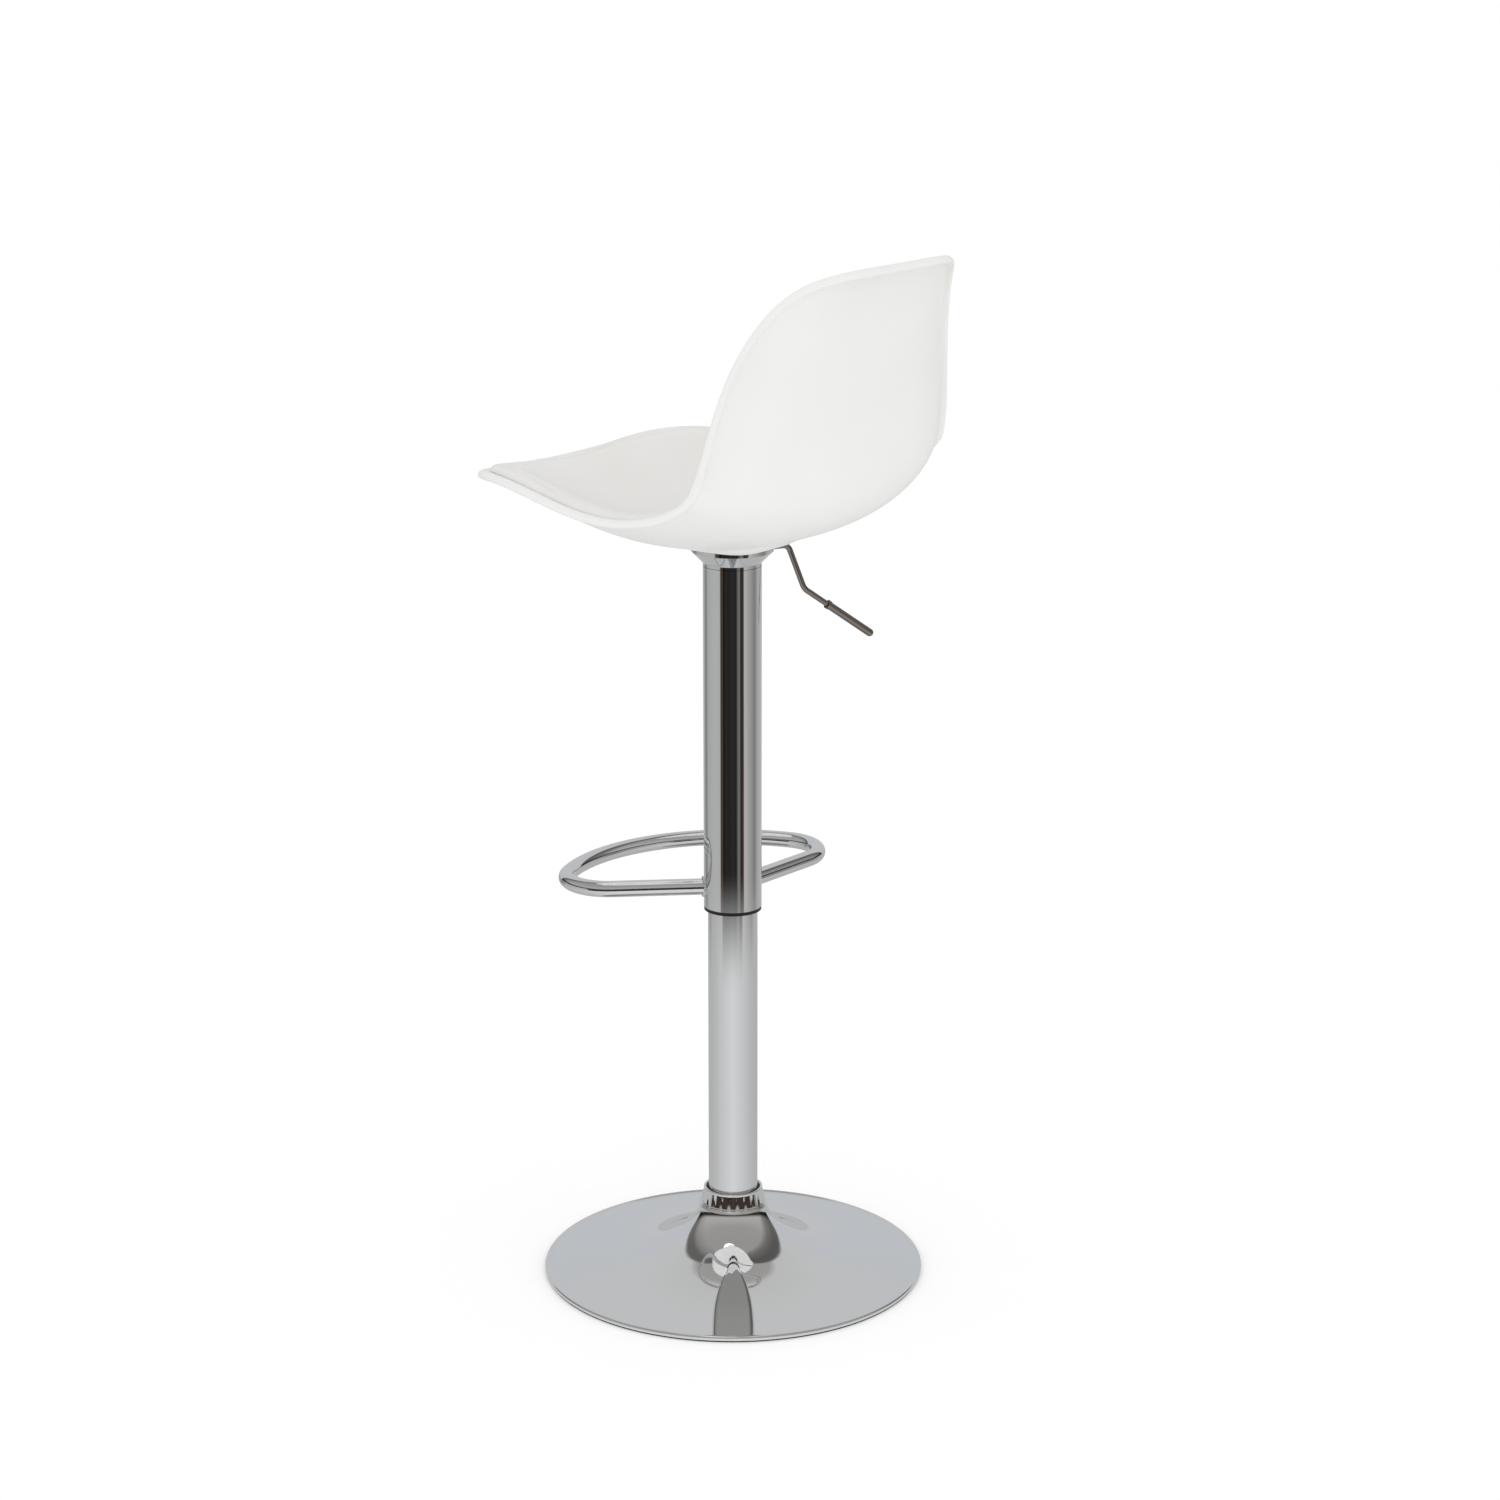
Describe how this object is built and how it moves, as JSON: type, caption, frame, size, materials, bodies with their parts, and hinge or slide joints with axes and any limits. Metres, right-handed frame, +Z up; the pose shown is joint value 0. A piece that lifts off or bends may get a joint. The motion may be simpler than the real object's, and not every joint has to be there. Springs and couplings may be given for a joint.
{
  "type": "adjustable swivel stool",
  "caption": "Bar stool with an upholstered moulded bucket seat on a chromed gas-lift column, looped footrest, release lever and round trumpet base.",
  "frame": {"origin": "on the floor under the column axis", "axes": "+Z up along the column; the seat faces -Y at rest and the sitter's left is +X"},
  "size_m": [0.417, 0.4448, 1.086],
  "materials": {
    "chrome_sheet": "polished chromium plate on steel",
    "chrome_tube": "polished chromium plate on steel tube",
    "chrome_rod": "ground hard-chromed rod",
    "plain_steel": "bright mild steel",
    "cast_ballast": "raw cast iron",
    "black_painted_steel": "black powder coat",
    "black_rubber": "matt moulded rubber",
    "black_plastic": "moulded acetal",
    "white_shell": "satin moulded polypropylene",
    "white_cover": "white synthetic leather over foam",
    "zinc_steel": "bright zinc plate"
  },
  "bodies": {
    "base": {"base_shell": "chrome_sheet", "base_floor_plate": "black_painted_steel", "base_weight": "cast_ballast", "base_rubber_ring": "black_rubber", "stand_tube": "chrome_tube", "stand_socket": "plain_steel", "bearing_floor": "plain_steel", "thrust_race_lower": "plain_steel", "thrust_balls": "plain_steel", "stand_top_bush": "black_plastic", "neck_collar": "chrome_sheet", "neck_seal_ring": "black_rubber"},
    "piston_rod_unit": {"piston_rod": "chrome_rod", "rod_clip": "zinc_steel", "thrust_race_upper": "plain_steel", "bump_stop": "black_rubber", "piston": "plain_steel", "piston_seal": "black_rubber"},
    "seat_column": {"gas_cylinder": "black_painted_steel", "cylinder_gland": "black_plastic", "cylinder_rod_seal": "black_rubber", "valve_body": "plain_steel", "seat_hub": "black_painted_steel", "sleeve_retainer": "zinc_steel", "lever_pivot_pin": "zinc_steel", "seat_cup": "chrome_sheet", "seat_plate": "black_painted_steel", "plate_screws": "zinc_steel", "weld_nuts": "zinc_steel", "seat_shell": "white_shell", "seat_cushion": "white_cover"},
    "footrest_sleeve": {"sleeve_tube": "chrome_tube", "sleeve_top_bush": "black_plastic", "sleeve_bottom_bush": "black_plastic", "footrest_loop": "chrome_tube", "footrest_welds": "chrome_tube"},
    "height_lever": {"lever_rod": "chrome_tube", "lever_grip": "chrome_tube"},
    "valve_release": {"valve_pin": "plain_steel"}
  },
  "joints": [
    {"name": "seat_swivel", "type": "hinge", "parent": "base", "child": "piston_rod_unit", "pos_m": [0, 0, 0.04], "axis": [0, 0, 1], "continuous": true},
    {"name": "height_lift", "type": "slide", "parent": "piston_rod_unit", "child": "seat_column", "axis": [0, 0, 1], "range_m": [-0.21, 0]},
    {"name": "footrest_swivel", "type": "hinge", "parent": "seat_column", "child": "footrest_sleeve", "pos_m": [0, 0, 0.755], "axis": [0, 0, 1], "continuous": true},
    {"name": "lever_lift", "type": "hinge", "parent": "seat_column", "child": "height_lever", "pos_m": [-0.01541, 0.00719, 0.7765], "axis": [0.4226, 0.9063, 0], "range_deg": [0, 6], "stiffness_Nm_per_rad": 1.5, "springref_deg": -8.59},
    {"name": "valve_press", "type": "slide", "parent": "seat_column", "child": "valve_release", "axis": [0, 0, -1], "range_m": [0, 0.0023]}
  ],
  "couplings": [
    {"joint": "valve_press", "follows": "lever_lift", "m_per_rad": 0.0207}
  ]
}
